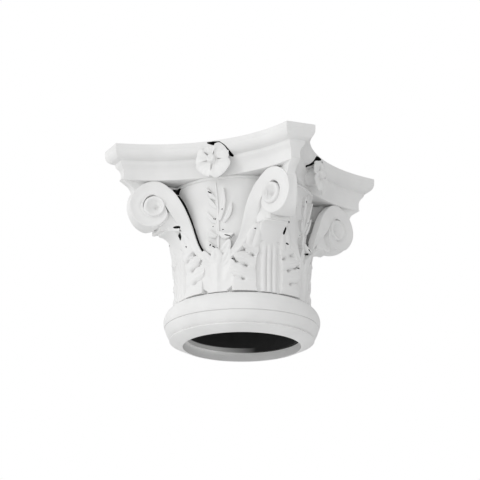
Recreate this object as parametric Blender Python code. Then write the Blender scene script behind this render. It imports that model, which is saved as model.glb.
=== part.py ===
"""A cast Corinthian capital that slips over a round column shaft.

One hollow casting: a turned neck ring, a bell with four tall corner leaves and four low
face leaves, eight volutes on stalks, a floral spray on each face, and a moulded abacus with
hollowed sides, cut corners and a flower at the middle of each side.

Metres, +Z up, the origin on the axis at the underside of the neck ring. The four faces look
along -Y, +X, +Y and -X. Everything carved is modelled once, for the face that looks along -Y
and the corner at +X -Y, and turned about the axis for the other three.
"""

from math import acos, asin, cos, pi, radians, sin, sqrt

import bmesh
import bpy
from mathutils import Matrix, Vector

# Neck ring
RING_RADIUS = 0.150
RING_BEAD_RADIUS = 0.030
RING_BEAD_HEIGHT = 0.0448
BAND_DEPTH = 0.0055
BAND_FOOT = 0.0145
LIP_RADIUS = 0.1387
LIP_HEIGHT = 0.0108
QUIRK_DEPTH = 0.0015
BAND_SWELL = 0.0045
BAND_EDGE = 0.002
BAND_EDGE_HEIGHT = 0.003
CREASE_DROP = 0.33
FOOT_WIDTH = 0.004
RING_STEPS = 36

# Hollow inside
SOCKET_RADIUS = 0.113
SOCKET_DEPTH = 0.0165
PASSAGE_RADIUS = 0.106
CHAMBER_RADIUS = 0.124
TOP_PLATE = 0.020
CHAMBER_FOOT_RISE = 0.020
CHAMBER_SHOULDER_DROP = 0.020
BORE_STEPS = 28

# Bell
BELL_RADIUS = 0.120
BELL_LIP_RADIUS = 0.138
BELL_LIP_BEAD = 0.005
BELL_LIP_EDGE = 0.002
BELL_FOOT_SUNK = 0.002

# Abacus
CAPITAL_HEIGHT = 0.365
ABACUS_HEIGHT = 0.064
ABACUS_HALF_WIDTH = 0.2144
ABACUS_SIDE_HALF = 0.1729
ABACUS_HOLLOW = 0.0548
ABACUS_INSET = 0.025
ABACUS_SIDE_STEPS = 8

# Volutes
VOLUTE_SET_BACK = 0.0033
EYE_ACROSS = 0.1215
EYE_BELOW_ABACUS = 0.0515
SCROLL_RADIUS = 0.0525
EYE_RADIUS = 0.0245
EYE_RISE = 0.009
SCROLL_SINK = 0.010
STALK_FOOT_ACROSS = 0.030
STALK_FOOT_HEIGHT = 0.140
STALK_FOOT_WIDTH = 0.016
STALK_TOP_WIDTH = 0.0285
SCROLL_END_WIDTH = 0.015
SCROLL_WEB = 0.008
VOLUTE_BACK_SLOPE = 0.15
FIN_REACH = 0.231
FIN_THICKNESS = 0.015

# Leaves
CORNER_LEAF_BEND = 0.176
CORNER_LEAF_CURL = 0.022
CORNER_LEAF_CURL_TURN = radians(155)
CORNER_LEAF_TIP_HALF = 0.031
CORNER_LEAF_TIP_BACK = 0.005
CORNER_LEAF_SPREAD = 0.069
RIB_HALF = 0.009
LOBE_RISE = 0.6
FACE_LEAF_HEIGHT = 0.0745
FACE_LEAF_HALF = 0.034
LEAF_RELIEF = 0.0105

# Flower and spray
FLOWER_RADIUS = 0.035
FLOWER_BELOW_TOP = 0.037
FLOWER_DEPTH = 0.012
FLOWER_PETALS = 5
FLOWER_SET_BACK = 0.004
FLOWER_ROOT = 0.012
PETAL_BACK = 0.007
SLOT_WIDTH = 0.0045
SLOT_FRONT = 0.030
SLOT_DEPTH = 0.050
STEM_WIDTH = 0.007
STEM_CLEARANCE = 0.012
HUSK_LENGTH = 0.036
HUSK_SPREAD = 0.020
HUSK_WIDTH = 0.018
HUSK_RELIEF = 0.013
BUD_SIDES = 5

# What pieces sink into each other, so that they join, and what cuts run past the faces they cut
BITE = 0.003
CUT_PAST = 0.010

ABACUS_BOTTOM = CAPITAL_HEIGHT - ABACUS_HEIGHT
BELL_FOOT = RING_BEAD_HEIGHT + RING_BEAD_RADIUS - BELL_FOOT_SUNK
SIDE_ARC = (ABACUS_SIDE_HALF**2 + ABACUS_HOLLOW**2) / (2 * ABACUS_HOLLOW)
SIDE_ARC_CENTRE = ABACUS_HALF_WIDTH - ABACUS_HOLLOW + SIDE_ARC
VOLUTE_ARC = SIDE_ARC + ABACUS_INSET + VOLUTE_SET_BACK
EYE_HEIGHT = ABACUS_BOTTOM - EYE_BELOW_ABACUS
CORNER = pi / 4
QUARTER = pi / 2


def plaster_white():
    material = bpy.data.materials.new("white_cast")
    material.use_nodes = True
    shader = material.node_tree.nodes["Principled BSDF"]
    shader.inputs["Base Color"].default_value = (0.83, 0.83, 0.82, 1)
    shader.inputs["Roughness"].default_value = 0.55
    shader.inputs["Metallic"].default_value = 0.0
    return material


def new_object(name, bm):
    """A closed solid of flat triangles with its faces pointing out."""
    bmesh.ops.recalc_face_normals(bm, faces=bm.faces)
    bmesh.ops.triangulate(bm, faces=bm.faces)
    if bm.calc_volume(signed=True) < 0:
        bmesh.ops.reverse_faces(bm, faces=bm.faces)
    mesh = bpy.data.meshes.new(name)
    bm.to_mesh(mesh)
    bm.free()
    solid = bpy.data.objects.new(name, mesh)
    bpy.context.scene.collection.objects.link(solid)
    return solid


def bell_radius(height):
    """The bell stands nearly straight, then flares to its lip under the abacus."""
    share = max(0.0, min(1.0, (height - BELL_FOOT) / (ABACUS_BOTTOM - BELL_FOOT)))
    return BELL_RADIUS + (BELL_LIP_RADIUS - BELL_RADIUS) * share**3


def on_bell(angle, height, proud):
    """A point on the bell: angle from the middle of the -Y face, and how far it stands out."""
    r = bell_radius(height) + proud
    return Vector((r * sin(angle), -r * cos(angle), height))


def on_volute_face(across, height, proud):
    """A point on the upright hollow surface that the volutes of the -Y face lie on."""
    turn = across / VOLUTE_ARC
    r = VOLUTE_ARC - proud
    return Vector((r * sin(turn), -(SIDE_ARC_CENTRE - r * cos(turn)), height))


def corner_plane(across):
    """Where the plane between two faces lies, as a distance in front of the volute surface."""
    turn = across / VOLUTE_ARC
    return VOLUTE_ARC - SIDE_ARC_CENTRE / (sin(turn) + cos(turn))


def turned(name, profile, steps):
    """A profile of (radius, height) points, spun about the axis."""
    bm = bmesh.new()
    ring = [bm.verts.new((r, 0, z)) for r, z in profile]
    edges = [bm.edges.new(pair) for pair in zip(ring, ring[1:])]
    if profile[0][0] > 0:
        edges.append(bm.edges.new((ring[-1], ring[0])))
    bmesh.ops.spin(
        bm,
        geom=ring + edges,
        axis=(0, 0, 1),
        cent=(0, 0, 0),
        steps=steps,
        angle=2 * pi,
        use_merge=True,
    )
    bmesh.ops.remove_doubles(bm, verts=bm.verts, dist=1e-6)
    return new_object(name, bm)


def arc(centre, radius, start, end, steps):
    """Points round a circle in a (radius, height) section, from one angle to another."""
    return [
        (
            centre[0] + radius * cos(start + (end - start) * i / steps),
            centre[1] + radius * sin(start + (end - start) * i / steps),
        )
        for i in range(steps + 1)
    ]


def ring_and_bell():
    """The neck ring's section from its foot up, then the bell and its lip."""
    bead_centre = (RING_RADIUS - RING_BEAD_RADIUS, RING_BEAD_HEIGHT)
    crease_turn = -asin(CREASE_DROP)
    band_top = RING_BEAD_HEIGHT - CREASE_DROP * RING_BEAD_RADIUS
    band_out = RING_RADIUS - BAND_DEPTH / 2
    foot_out = SOCKET_RADIUS + FOOT_WIDTH
    core = PASSAGE_RADIUS - BITE
    profile = [(core, 0), (foot_out, 0), (LIP_RADIUS, LIP_HEIGHT)]
    profile += [(LIP_RADIUS - QUIRK_DEPTH, BAND_FOOT)]
    profile += [(LIP_RADIUS + BAND_SWELL, (BAND_FOOT + band_top) / 2)]
    profile += [(band_out, band_top - BAND_EDGE_HEIGHT), (band_out - BAND_EDGE, band_top)]
    profile += arc(bead_centre, RING_BEAD_RADIUS, crease_turn, pi / 2, 5)[:-1]
    profile += [(BELL_RADIUS, BELL_FOOT)]
    for share in (0.6, 0.85):
        height = BELL_FOOT + share * (ABACUS_BOTTOM - BELL_FOOT)
        profile.append((bell_radius(height), height))
    lip = ABACUS_BOTTOM - 2 * BELL_LIP_BEAD
    profile += [(bell_radius(lip) - BELL_LIP_EDGE, lip)]
    profile += [(BELL_LIP_RADIUS, ABACUS_BOTTOM - BELL_LIP_BEAD)]
    profile += [(BELL_LIP_RADIUS - BELL_LIP_EDGE, ABACUS_BOTTOM + BITE), (core, ABACUS_BOTTOM + BITE)]
    return turned("capital", profile, RING_STEPS)


def abacus_section():
    """(inset from the top edge, height) from the top down: fillet, ovolo, fillet, cavetto, face."""
    drop, inset = ABACUS_HEIGHT, ABACUS_INSET
    ovolo = [(0.62 * inset * (1 - cos(t)), drop * (0.15 + 0.28 * sin(t))) for t in (0, 0.7, pi / 2)]
    turns = (0, 0.8, pi / 2)
    bead = [(inset * (0.66 + 0.34 * (1 - cos(t))), drop * (0.50 + 0.24 * sin(t))) for t in turns]
    section = [(0, 0)] + ovolo + bead + [(inset, drop)]
    return [(d, CAPITAL_HEIGHT - down) for d, down in section]


def abacus_outline(inset):
    """The plan at one level: each side's arc about the same centre, its ends on the cut corners."""
    r = SIDE_ARC + inset
    diagonal = (ABACUS_HALF_WIDTH + ABACUS_SIDE_HALF) / sqrt(2) - inset
    # The arc meets the cut corner where x - y, over the square root of two, is the diagonal.
    centre_out = SIDE_ARC_CENTRE / sqrt(2)
    end = acos((centre_out - diagonal) / r) - CORNER
    points = []
    for face in range(4):
        turn = Matrix.Rotation(face * QUARTER, 3, "Z")
        for i in range(ABACUS_SIDE_STEPS + 1):
            a = end * (2 * i / ABACUS_SIDE_STEPS - 1)
            points.append(turn @ Vector((r * sin(a), r * cos(a) - SIDE_ARC_CENTRE, 0)))
    return points


def abacus():
    bm = bmesh.new()
    rings = []
    for inset, height in abacus_section():
        rings.append([bm.verts.new((p.x, p.y, height)) for p in abacus_outline(inset)])
    bm.faces.new(rings[0])
    bm.faces.new(list(reversed(rings[-1])))
    count = len(rings[0])
    for upper, lower in zip(rings, rings[1:]):
        for i in range(count):
            j = (i + 1) % count
            bm.faces.new((upper[i], lower[i], lower[j], upper[j]))
    return new_object("abacus", bm)


def swept(name, stations):
    """A closed solid through four-sided stations, each a list of points."""
    bm = bmesh.new()
    loops = [[bm.verts.new(p) for p in station] for station in stations]
    count = len(loops[0])
    bm.faces.new(loops[0])
    bm.faces.new(list(reversed(loops[-1])))
    for one, two in zip(loops, loops[1:]):
        for i in range(count):
            j = (i + 1) % count
            bm.faces.new((one[i], two[i], two[j], one[j]))
    return new_object(name, bm)


def scroll_radius(turn):
    """The outer edge of the scroll, from over the eye (0) outwards and round under it."""
    share = turn / (2 * pi)
    return SCROLL_RADIUS * (1 - 0.75 * share + 2.08 * share**2 - 2.77 * share**3)


def stalk_line():
    """(centre, width, way the outer edge lies) along the stalk, then round the scroll."""
    foot = Vector((STALK_FOOT_ACROSS, STALK_FOOT_HEIGHT))
    top = Vector((EYE_ACROSS, EYE_HEIGHT + scroll_radius(0) - STALK_TOP_WIDTH / 2))
    # Shares of the run, the rise and the top width; the stalk climbs, swells and bends out.
    shares = ((0, 0, 0.5), (0.175, 0.17, 0.8), (0.31, 0.38, 1.1), (0.426, 0.547, 1.15))
    shares += ((0.53, 0.723, 1.0), (0.727, 0.895, 1.0), (1, 1, 1))
    centres = [Vector((foot.x + (top.x - foot.x) * x, foot.y + (top.y - foot.y) * y)) for x, y, w in shares]
    line = []
    for i, centre in enumerate(centres[:-1]):
        along = (centres[i + 1] - centres[max(0, i - 1)]).normalized()
        line.append((centre, STALK_TOP_WIDTH * shares[i][2], Vector((-along.y, along.x))))
    last_turn = radians(250)
    steps = 9
    for i in range(steps + 1):
        turn = last_turn * i / steps
        out = Vector((sin(turn), cos(turn)))
        width = max(SCROLL_END_WIDTH, STALK_TOP_WIDTH - (STALK_TOP_WIDTH - SCROLL_END_WIDTH) * turn / 1.6)
        place = Vector((EYE_ACROSS, EYE_HEIGHT)) + out * (scroll_radius(turn) - width / 2)
        line.append((place, width, out))
    return line


def volute_back(across):
    """The back of a volute: just past the corner plane, but never out of the bell's wall."""
    inside_bell = VOLUTE_ARC - SIDE_ARC_CENTRE + PASSAGE_RADIUS + BITE
    return max(corner_plane(across) - BITE, inside_bell - VOLUTE_BACK_SLOPE * across)


def volute_band(side):
    """The stalk and the outer turn of the scroll: a flat band that runs back into the bell."""
    stations = []
    for place, width, out in stalk_line():
        outer, inner = place + out * width / 2, place - out * width / 2
        station = []
        for edge, in_front in ((outer, True), (inner, True), (inner, False), (outer, False)):
            p = on_volute_face(edge.x, edge.y, 0 if in_front else volute_back(edge.x))
            station.append(Vector((side * p.x, p.y, p.z)))
        stations.append(station)
    return swept("band", stations)


def volute_disc(name, side, radius, thickness, steps, front=None):
    """A round plate about the eye; without a front level it lies along the corner plane."""
    bm = bmesh.new()
    near, far = [], []
    for i in range(steps):
        a = 2 * pi * i / steps
        across, height = EYE_ACROSS + radius * cos(a), EYE_HEIGHT + radius * sin(a)
        level = corner_plane(across) + thickness if front is None else front
        back = min(volute_back(across), level - thickness)
        for ring, depth in ((near, level), (far, back)):
            p = on_volute_face(across, height, depth)
            ring.append(bm.verts.new((side * p.x, p.y, p.z)))
    bm.faces.new(near)
    bm.faces.new(list(reversed(far)))
    for i in range(steps):
        j = (i + 1) % steps
        bm.faces.new((near[i], far[i], far[j], near[j]))
    return new_object(name, bm)


def corner_fin():
    """An upright fin on the corner plane, from behind the scrolls up to the abacus."""
    bm = bmesh.new()
    bmesh.ops.create_cube(bm, size=1)
    inner, outer = BELL_RADIUS, FIN_REACH
    low, high = EYE_HEIGHT, ABACUS_BOTTOM + BITE
    bmesh.ops.scale(bm, vec=(outer - inner, FIN_THICKNESS, high - low), verts=bm.verts)
    bmesh.ops.translate(bm, vec=((outer + inner) / 2, 0, (low + high) / 2), verts=bm.verts)
    bmesh.ops.rotate(bm, cent=(0, 0, 0), matrix=Matrix.Rotation(-CORNER, 3, "Z"), verts=bm.verts)
    return new_object("fin", bm)


def corner_leaf_point(across, along, proud):
    """Leaf space to the corner at +X -Y: across from the midrib, up the leaf, out from it."""
    straight = CORNER_LEAF_BEND - BELL_FOOT
    if along <= straight:
        height = BELL_FOOT + along
        out, up = bell_radius(height) + proud, height
    else:
        turn = (along - straight) / CORNER_LEAF_CURL
        r = CORNER_LEAF_CURL - proud
        out = bell_radius(CORNER_LEAF_BEND) + CORNER_LEAF_CURL - r * cos(turn)
        up = CORNER_LEAF_BEND + r * sin(turn)
    angle = CORNER + across / bell_radius(min(BELL_FOOT + along, CORNER_LEAF_BEND))
    return Vector((out * sin(angle), -out * cos(angle), up))


def corner_leaf():
    """A fluted midrib with stepped lobes on each side, and a broad head that curls over."""
    straight = CORNER_LEAF_BEND - BELL_FOOT
    curl = CORNER_LEAF_CURL * CORNER_LEAF_CURL_TURN
    wall = BELL_RADIUS - PASSAGE_RADIUS - BITE
    # How far up the straight part each lobe starts, and how far it and the notch under it spread.
    lobes = ((-0.02, 0.30, 0.95), (0.24, 0.60, 1.0), (0.50, 0.48, 0.78), (0.75, 0.36, 0.60))
    rows = []
    for i, (start, notch, spread) in enumerate(lobes):
        end = lobes[i + 1][0] if i + 1 < len(lobes) else 1.0
        for share, width, lift in ((0, notch, 0.35), (0.5, spread, 1.0)):
            up = (start + (end - start) * share) * straight
            rows.append((up, CORNER_LEAF_SPREAD * width, lift, -wall))
    head = ((0, 0.72, 0.5), (0.25, 0.95, 0.6), (0.5, 1, 0.7), (0.8, 0.9, 0.6), (1, 0.4, 0.3))
    for share, width, lift in head:
        rows.append((straight + curl * share, CORNER_LEAF_TIP_HALF * width, lift, -CORNER_LEAF_TIP_BACK))
    stations = []
    for up, half, lift, back in rows:
        edge, ridge = LEAF_RELIEF * 0.55 * lift, LEAF_RELIEF * lift
        valley, rib = LEAF_RELIEF * 0.4 * lift, LEAF_RELIEF * (0.5 + 0.5 * lift)
        section = [(-half, back), (-half, edge), (-0.62 * half, ridge), (-RIB_HALF, valley), (0, rib)]
        section += [(-x, proud) for x, proud in reversed(section[:-1])]
        sweep = LOBE_RISE * max(0, 1 - up / straight)
        stations.append([corner_leaf_point(x, up + sweep * abs(x), proud) for x, proud in section])
    return swept("corner_leaf", stations)


def face_leaf():
    """A low leaf at the middle of a face: two lobes on each side and a head that leans out."""
    wall = BELL_RADIUS - PASSAGE_RADIUS - BITE
    rows = ((-0.02, 0.5, 0.5), (0.2, 0.85, 0.8), (0.34, 0.6, 0.75), (0.5, 1.0, 0.95), (0.7, 0.78, 1.1))
    rows += ((0.84, 0.58, 1.3), (1.0, 0.16, 1.3))
    stations = []
    for share, spread, lift in rows:
        half, ridge = FACE_LEAF_HALF * spread, LEAF_RELIEF * lift
        section = [(-half, -wall), (-half, 0.5 * ridge), (-0.45 * half, 0.85 * ridge), (0, ridge)]
        section += [(-x, proud) for x, proud in reversed(section[:-1])]
        height = BELL_FOOT + share * FACE_LEAF_HEIGHT
        stations.append([on_bell(x / BELL_RADIUS, height, proud) for x, proud in section])
    return swept("face_leaf", stations)


def bud(name, to_world, foot, head, width, rise, sunk):
    """A small closed leaf or bud, fullest past its middle, on a carved surface."""
    bm = bmesh.new()
    bmesh.ops.create_uvsphere(bm, u_segments=BUD_SIDES, v_segments=3, radius=1)
    foot, head = Vector(foot), Vector(head)
    line = head - foot
    sideways = Vector((-line.y, line.x)).normalized()
    for v in bm.verts:
        share = (v.co.z + 1) / 2
        place = foot + line * share + sideways * v.co.x * width / 2
        proud = rise * v.co.y if v.co.y > 0 else sunk * v.co.y
        v.co = to_world(place.x, place.y, proud * (0.6 + 0.4 * share))
    return new_object(name, bm)


def spray_point(across, up, proud):
    return on_bell(across / BELL_RADIUS, up, proud)


def spray():
    """A stem up the middle of a face, and a husk on each side of its foot."""
    foot = STALK_FOOT_HEIGHT + BITE
    stem = (0, foot), (0, ABACUS_BOTTOM - STEM_CLEARANCE)
    pieces = [bud("stem", spray_point, *stem, STEM_WIDTH, STEM_WIDTH, BITE)]
    for side in (1, -1):
        low, high = (side * BITE, foot), (side * HUSK_SPREAD, foot + HUSK_LENGTH)
        pieces.append(bud("husk", spray_point, low, high, HUSK_WIDTH, HUSK_RELIEF, BITE))
    return pieces


def flower_point(across, up, proud):
    """A point on the flower: across and up from its middle, and out from its back plane."""
    out = SIDE_ARC_CENTRE - SIDE_ARC - FLOWER_SET_BACK + proud
    return Vector((across, -out, CAPITAL_HEIGHT - FLOWER_BELOW_TOP + up))


def flower():
    """Petals about a button, on a stub that joins the abacus."""
    pieces = []
    for i in range(FLOWER_PETALS):
        a = 2 * pi * i / FLOWER_PETALS + pi / 2
        foot = (0.15 * FLOWER_RADIUS * cos(a), 0.15 * FLOWER_RADIUS * sin(a))
        head = (FLOWER_RADIUS * cos(a), FLOWER_RADIUS * sin(a))
        width = FLOWER_RADIUS * 1.05
        pieces.append(bud("petal", flower_point, foot, head, width, FLOWER_DEPTH, PETAL_BACK))
    bm = bmesh.new()
    bmesh.ops.create_cone(
        bm, cap_ends=True, segments=10, radius1=FLOWER_RADIUS * 0.62, radius2=FLOWER_RADIUS * 0.2, depth=1
    )
    back, front = -(ABACUS_INSET + FLOWER_ROOT), FLOWER_DEPTH * 1.25
    for v in bm.verts:
        v.co = flower_point(v.co.x, v.co.y, front if v.co.z > 0 else back)
    pieces.append(new_object("button", bm))
    return pieces


def hollow():
    """The socket for the shaft, the passage for the core, the chamber and the top opening."""
    chamber_foot = BELL_FOOT + CHAMBER_FOOT_RISE
    chamber_top = CAPITAL_HEIGHT - TOP_PLATE
    foot, top = -CUT_PAST, CAPITAL_HEIGHT + CUT_PAST
    profile = [(0, foot), (SOCKET_RADIUS, foot), (SOCKET_RADIUS, SOCKET_DEPTH)]
    profile += [(PASSAGE_RADIUS, SOCKET_DEPTH), (PASSAGE_RADIUS, chamber_foot)]
    profile += [(CHAMBER_RADIUS, ABACUS_BOTTOM - CHAMBER_SHOULDER_DROP)]
    profile += [(CHAMBER_RADIUS, chamber_top), (PASSAGE_RADIUS, chamber_top)]
    profile += [(PASSAGE_RADIUS, top), (0, top)]
    return turned("hollow", profile, BORE_STEPS)


def flower_slot():
    """The gap behind the upper edge of a flower, open to the hollow of the capital."""
    inner = FLOWER_RADIUS * 0.66
    outer = inner + SLOT_WIDTH
    steps = 5
    stations = []
    for i in range(steps + 1):
        a = radians(15) + radians(150) * i / steps
        stations.append(
            [
                flower_point(r * cos(a), r * sin(a), depth)
                for r, depth in (
                    (inner, SLOT_FRONT), (outer, SLOT_FRONT), (outer, -SLOT_DEPTH), (inner, -SLOT_DEPTH)
                )
            ]
        )
    return swept("slot", stations)


def guide(solid):
    """Marks a solid that only adds to or cuts another."""
    solid.hide_render = True
    solid.display_type = "WIRE"


def joined(solid, others, operation="UNION", solver="EXACT"):
    """Adds or cuts a group of solids."""
    group = bpy.data.collections.new(operation.lower())
    bpy.context.scene.collection.children.link(group)
    for other in others:
        group.objects.link(other)
        guide(other)
    step = solid.modifiers.new(operation.lower(), "BOOLEAN")
    step.operation = operation
    step.operand_type = "COLLECTION"
    step.solver = solver
    step.collection = group
    return solid


def turned_copies(pieces):
    """The same pieces at all four faces or corners."""
    copies = []
    for face in range(4):
        for piece in pieces:
            copy = piece if face == 0 else bpy.data.objects.new(piece.name, piece.data)
            if face:
                bpy.context.scene.collection.objects.link(copy)
                copy.rotation_euler.z = face * QUARTER
            copies.append(copy)
    return copies


def carved_quarter():
    """What one face and one corner carry below the abacus."""
    pieces = [corner_leaf(), face_leaf(), corner_fin()] + spray()
    for side in (1, -1):
        pieces.append(volute_band(side))
        pieces.append(volute_disc("web", side, SCROLL_RADIUS * 0.8, SCROLL_WEB, 10))
        pieces.append(volute_disc("scroll_floor", side, SCROLL_RADIUS * 0.63, SCROLL_WEB, 12, -SCROLL_SINK))
        pieces.append(volute_disc("eye", side, EYE_RADIUS, SCROLL_WEB, 12, EYE_RISE))
    return pieces


def capital():
    solid = ring_and_bell()
    joined(solid, [abacus()] + turned_copies(carved_quarter()))
    joined(solid, turned_copies([flower_slot()]), "DIFFERENCE")
    # The petals cross each other at fine angles.
    joined(solid, turned_copies(flower()), solver="MANIFOLD")
    joined(solid, [hollow()], "DIFFERENCE", solver="MANIFOLD")
    solid.data.materials.append(plaster_white())
    solid.data.shade_smooth()
    solid.data.set_sharp_from_angle(angle=radians(35))
    return solid


for old in list(bpy.data.objects):
    bpy.data.objects.remove(old)
capital()
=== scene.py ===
from math import acos, asin, atan2, cos, exp, hypot, pi, radians, sin, sqrt

import bmesh
import bpy
from mathutils import Matrix, Vector


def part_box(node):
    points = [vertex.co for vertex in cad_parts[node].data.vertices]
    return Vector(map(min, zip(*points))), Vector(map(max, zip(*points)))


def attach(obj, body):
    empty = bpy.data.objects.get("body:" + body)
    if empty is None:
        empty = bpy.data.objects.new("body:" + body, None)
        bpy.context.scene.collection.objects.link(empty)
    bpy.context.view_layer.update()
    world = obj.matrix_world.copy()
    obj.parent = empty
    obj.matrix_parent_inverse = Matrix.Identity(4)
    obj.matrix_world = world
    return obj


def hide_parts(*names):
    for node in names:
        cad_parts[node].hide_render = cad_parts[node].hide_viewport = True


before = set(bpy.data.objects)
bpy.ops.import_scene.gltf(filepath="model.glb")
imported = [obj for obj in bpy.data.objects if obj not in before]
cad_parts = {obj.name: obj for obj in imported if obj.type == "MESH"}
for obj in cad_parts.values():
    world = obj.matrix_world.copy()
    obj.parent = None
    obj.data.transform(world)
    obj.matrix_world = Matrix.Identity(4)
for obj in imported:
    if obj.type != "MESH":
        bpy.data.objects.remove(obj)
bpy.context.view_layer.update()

# The neck ring and the bell
# The foot of the casting: a turned ring with a bevelled underside, a flat band and a big bead.
# Above it stands the plain bell that the leaves and stalks grow on, with a thin lip at its top.
capital_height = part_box("capital")[1][2]
abacus_height = 0.064
abacus_bottom = capital_height - abacus_height
bell_foot = 0.0728
bell_foot_radius = 0.120
bell_lip_radius = 0.138
socket_radius = 0.113
passage_radius = 0.106
quarter_turn = pi / 2
corner_turn = pi / 4


def between(low, high, value):
    """0 below low, 1 above high, and an even rise with soft ends between them."""
    share = max(0.0, min(1.0, (value - low) / (high - low)))
    return share * share * (3 - 2 * share)


def through(points, value):
    """The height of a smooth line through (place, height) points, flat past its ends."""
    if value <= points[0][0]:
        return points[0][1]
    for (x0, y0), (x1, y1) in zip(points, points[1:]):
        if value <= x1:
            return y0 + (y1 - y0) * between(x0, x1, value)
    return points[-1][1]


def bell_radius(height):
    """The bell is straight at its foot and flares towards its lip."""
    share = max(0.0, min(1.0, (height - bell_foot) / (abacus_bottom - bell_foot)))
    return bell_foot_radius + (bell_lip_radius - bell_foot_radius) * share**3


def bell_point(angle, height, proud):
    """A point on the bell of the -Y face: the angle is from its middle, towards +X."""
    r = bell_radius(height) + proud
    return Vector((r * sin(angle), -r * cos(angle), height))


def solid(name, bm):
    """Makes an object of a closed shape, with its faces pointing out."""
    bmesh.ops.remove_doubles(bm, verts=bm.verts, dist=1e-6)
    bmesh.ops.recalc_face_normals(bm, faces=bm.faces)
    if bm.calc_volume(signed=True) < 0:
        bmesh.ops.reverse_faces(bm, faces=bm.faces)
    mesh = bpy.data.meshes.new(name)
    bm.to_mesh(mesh)
    bm.free()
    piece = bpy.data.objects.new(name, mesh)
    bpy.context.scene.collection.objects.link(piece)
    return piece


def spun(section, steps):
    """A (radius, height) section spun about the axis, or a closed ring if it starts off the axis."""
    bm = bmesh.new()
    line = [bm.verts.new((r, 0, z)) for r, z in section]
    edges = [bm.edges.new(pair) for pair in zip(line, line[1:])]
    if section[0][0] > 0:
        edges.append(bm.edges.new((line[-1], line[0])))
    bmesh.ops.spin(
        bm, geom=line + edges, axis=(0, 0, 1), cent=(0, 0, 0), steps=steps, angle=2 * pi, use_merge=True
    )
    return bm


def round_plate(section, steps):
    """A section that starts on the axis, spun about it and closed behind its last point."""
    bm = spun(section, steps)
    bmesh.ops.remove_doubles(bm, verts=bm.verts, dist=1e-6)
    bmesh.ops.holes_fill(bm, edges=[e for e in bm.edges if e.is_boundary])
    return bm


def arc(centre, radius, start, end, steps):
    """Points on a round line in a section, from one turn to another."""
    turns = [start + (end - start) * i / steps for i in range(steps + 1)]
    return [(centre[0] + radius * cos(t), centre[1] + radius * sin(t)) for t in turns]


bead_radius, bead_centre = 0.030, (0.120, 0.0450)
under_bevel = [(socket_radius + 0.0030, 0.0), (socket_radius + 0.0040, 0.0003), (0.1380, 0.0098)]
quirk = [(0.1388, 0.0108), (0.1385, 0.0120), (0.1372, 0.0128), (0.1362, 0.0140)]
band = [(0.1376, 0.0147), (0.1402, 0.0168), (0.1428, 0.0207), (0.1451, 0.0262), (0.1469, 0.0318)]
band += [(0.1476, 0.0346), (0.1472, 0.0354), (0.1464, 0.0358)]
bead = arc(bead_centre, bead_radius, -asin(0.30), radians(88), 22)
bell_side = [(bell_radius(z), z) for z in [bell_foot + 0.0025 + 0.0217 * i for i in range(11)]]
lip_low, lip_high = abacus_bottom - 0.0062, abacus_bottom - 0.0006
bell_lip = [(bell_radius(lip_low) - 0.0012, lip_low), (bell_lip_radius - 0.0002, lip_low + 0.0006)]
bell_lip += [(bell_lip_radius + 0.0006, lip_low + 0.0026), (bell_lip_radius - 0.0004, lip_high)]
inside = passage_radius - 0.004
section = [(inside, 0.0)] + under_bevel + quirk + band + bead + bell_side + bell_lip
section += [(bell_lip_radius - 0.004, abacus_bottom + 0.002), (inside, abacus_bottom + 0.002)]
casting = solid("capital_cast", spun(section, 144))

# The corner leaves
# A tall acanthus leaf climbs each corner of the bell, cast with it. It has three round ribs up
# its middle, four drilled and scalloped lobes on each side, and a smooth head that curls over.
leaf_straight = 0.0783
# The head's line as radius and height, from the bell out to its tip.
leaf_head_line = (
    (0.1206, 0.1511), (0.1227, 0.1667), (0.1266, 0.1806), (0.1333, 0.1940), (0.1414, 0.2044),
    (0.1524, 0.2122), (0.1650, 0.2140), (0.1742, 0.2112),
)
head_steps = zip(leaf_head_line, leaf_head_line[1:])
leaf_length = leaf_straight + sum((Vector(q) - Vector(p)).length for p, q in head_steps)
rib_width = 0.0105
rib_half = 1.5 * rib_width
leaf_middle = 0.46
head_half = 0.0235
head_round = 0.128
leaf_wall = 0.010
# Each lobe's start as a share of the straight part, its reach and the notch below it.
leaf_lobes = ((-0.08, 0.069, 0.061), (0.26, 0.074, 0.063), (0.58, 0.067, 0.056), (0.88, 0.054, 0.041))
leaf_foot = 0.0032
leaf_lobes_end = (1.28, 0.0235)
# The drilled eyes between the lobes: share, notch and depth.
leaf_eyes = [(lobe[0], lobe[2], 0.0120) for lobe in leaf_lobes[1:]] + [(*leaf_lobes_end, 0.0030)]
# How far the blade sweeps upwards at each share, and the most that it may at its edge.
leaf_sweep = ((0.05, 0.0), (0.3, 0.28), (0.8, 0.42), (1.15, 0.25), (1.4, 0.0))
leaf_sweep_reach = ((-0.1, 0.040), (0.3, 0.046), (0.8, 0.036), (1.3, 0.010))


def carved_plate(columns, rows, place):
    """A closed plate: place(across, up, in_front) sets its points, across -1 to 1 and up 0 to 1."""
    bm = bmesh.new()
    bmesh.ops.create_grid(bm, x_segments=columns, y_segments=rows, size=1)
    raised = bmesh.ops.extrude_face_region(bm, geom=list(bm.faces))["geom"]
    in_front = {v for v in raised if isinstance(v, bmesh.types.BMVert)}
    for v in bm.verts:
        v.co = place(v.co.x, (v.co.y + 1) / 2, v in in_front)
    return bm


def smooth_curve(points, steps):
    """A smooth curve through the points, with so many steps to each stretch."""
    spots = [Vector(p) for p in points]
    ends = [2 * spots[0] - spots[1]] + spots + [2 * spots[-1] - spots[-2]]
    line = []
    for i in range(1, len(ends) - 2):
        a, b, c, d = ends[i - 1 : i + 3]
        for k in range(steps):
            t = k / steps
            bend = (2 * a - 5 * b + 4 * c - d) * t**2 + (3 * b - a - 3 * c + d) * t**3
            line.append(0.5 * (2 * b + (c - a) * t + bend))
    line.append(spots[-1])
    return line


leaf_head = smooth_curve(leaf_head_line, 8)


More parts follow.
